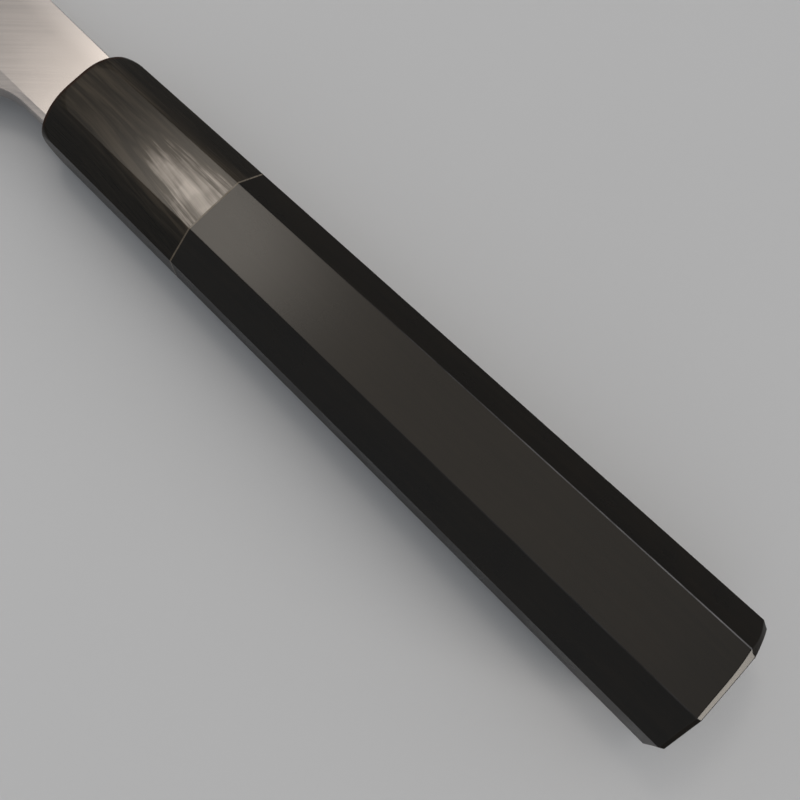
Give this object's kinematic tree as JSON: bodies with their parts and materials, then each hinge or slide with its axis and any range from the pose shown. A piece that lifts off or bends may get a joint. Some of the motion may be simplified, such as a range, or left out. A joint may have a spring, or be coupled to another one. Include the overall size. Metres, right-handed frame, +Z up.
{
  "type": "yanagiba knife",
  "caption": "Single-bevel slicing knife: long two-layer blade with a hollow-ground back, octagonal dark wood grip and polished marbled horn ferrule, lying on its side.",
  "frame": {"origin": "middle of the box round the knife, on the table that it lies on", "axes": "+X along the knife towards the tip, +Y towards the cutting edge, +Z up, out of the hollow-ground back"},
  "size_m": [0.4118, 0.0382, 0.0246],
  "materials": {
    "soft_iron": "satin",
    "hard_steel": "satin",
    "buffalo_horn": "gloss",
    "joint_glue": "satin",
    "ebony": "satin",
    "magnolia_wood": "matte",
    "bedding_resin": "gloss",
    "seal_resin": "satin"
  },
  "bodies": {
    "root": {"blade_body": "soft_iron", "edge_steel": "hard_steel", "horn_ferrule": "buffalo_horn", "ferrule_glue_line": "joint_glue", "handle_body": "ebony", "core_dowel": "magnolia_wood", "tang_bedding": "bedding_resin", "mouth_seal": "seal_resin"}
  },
  "joints": []
}
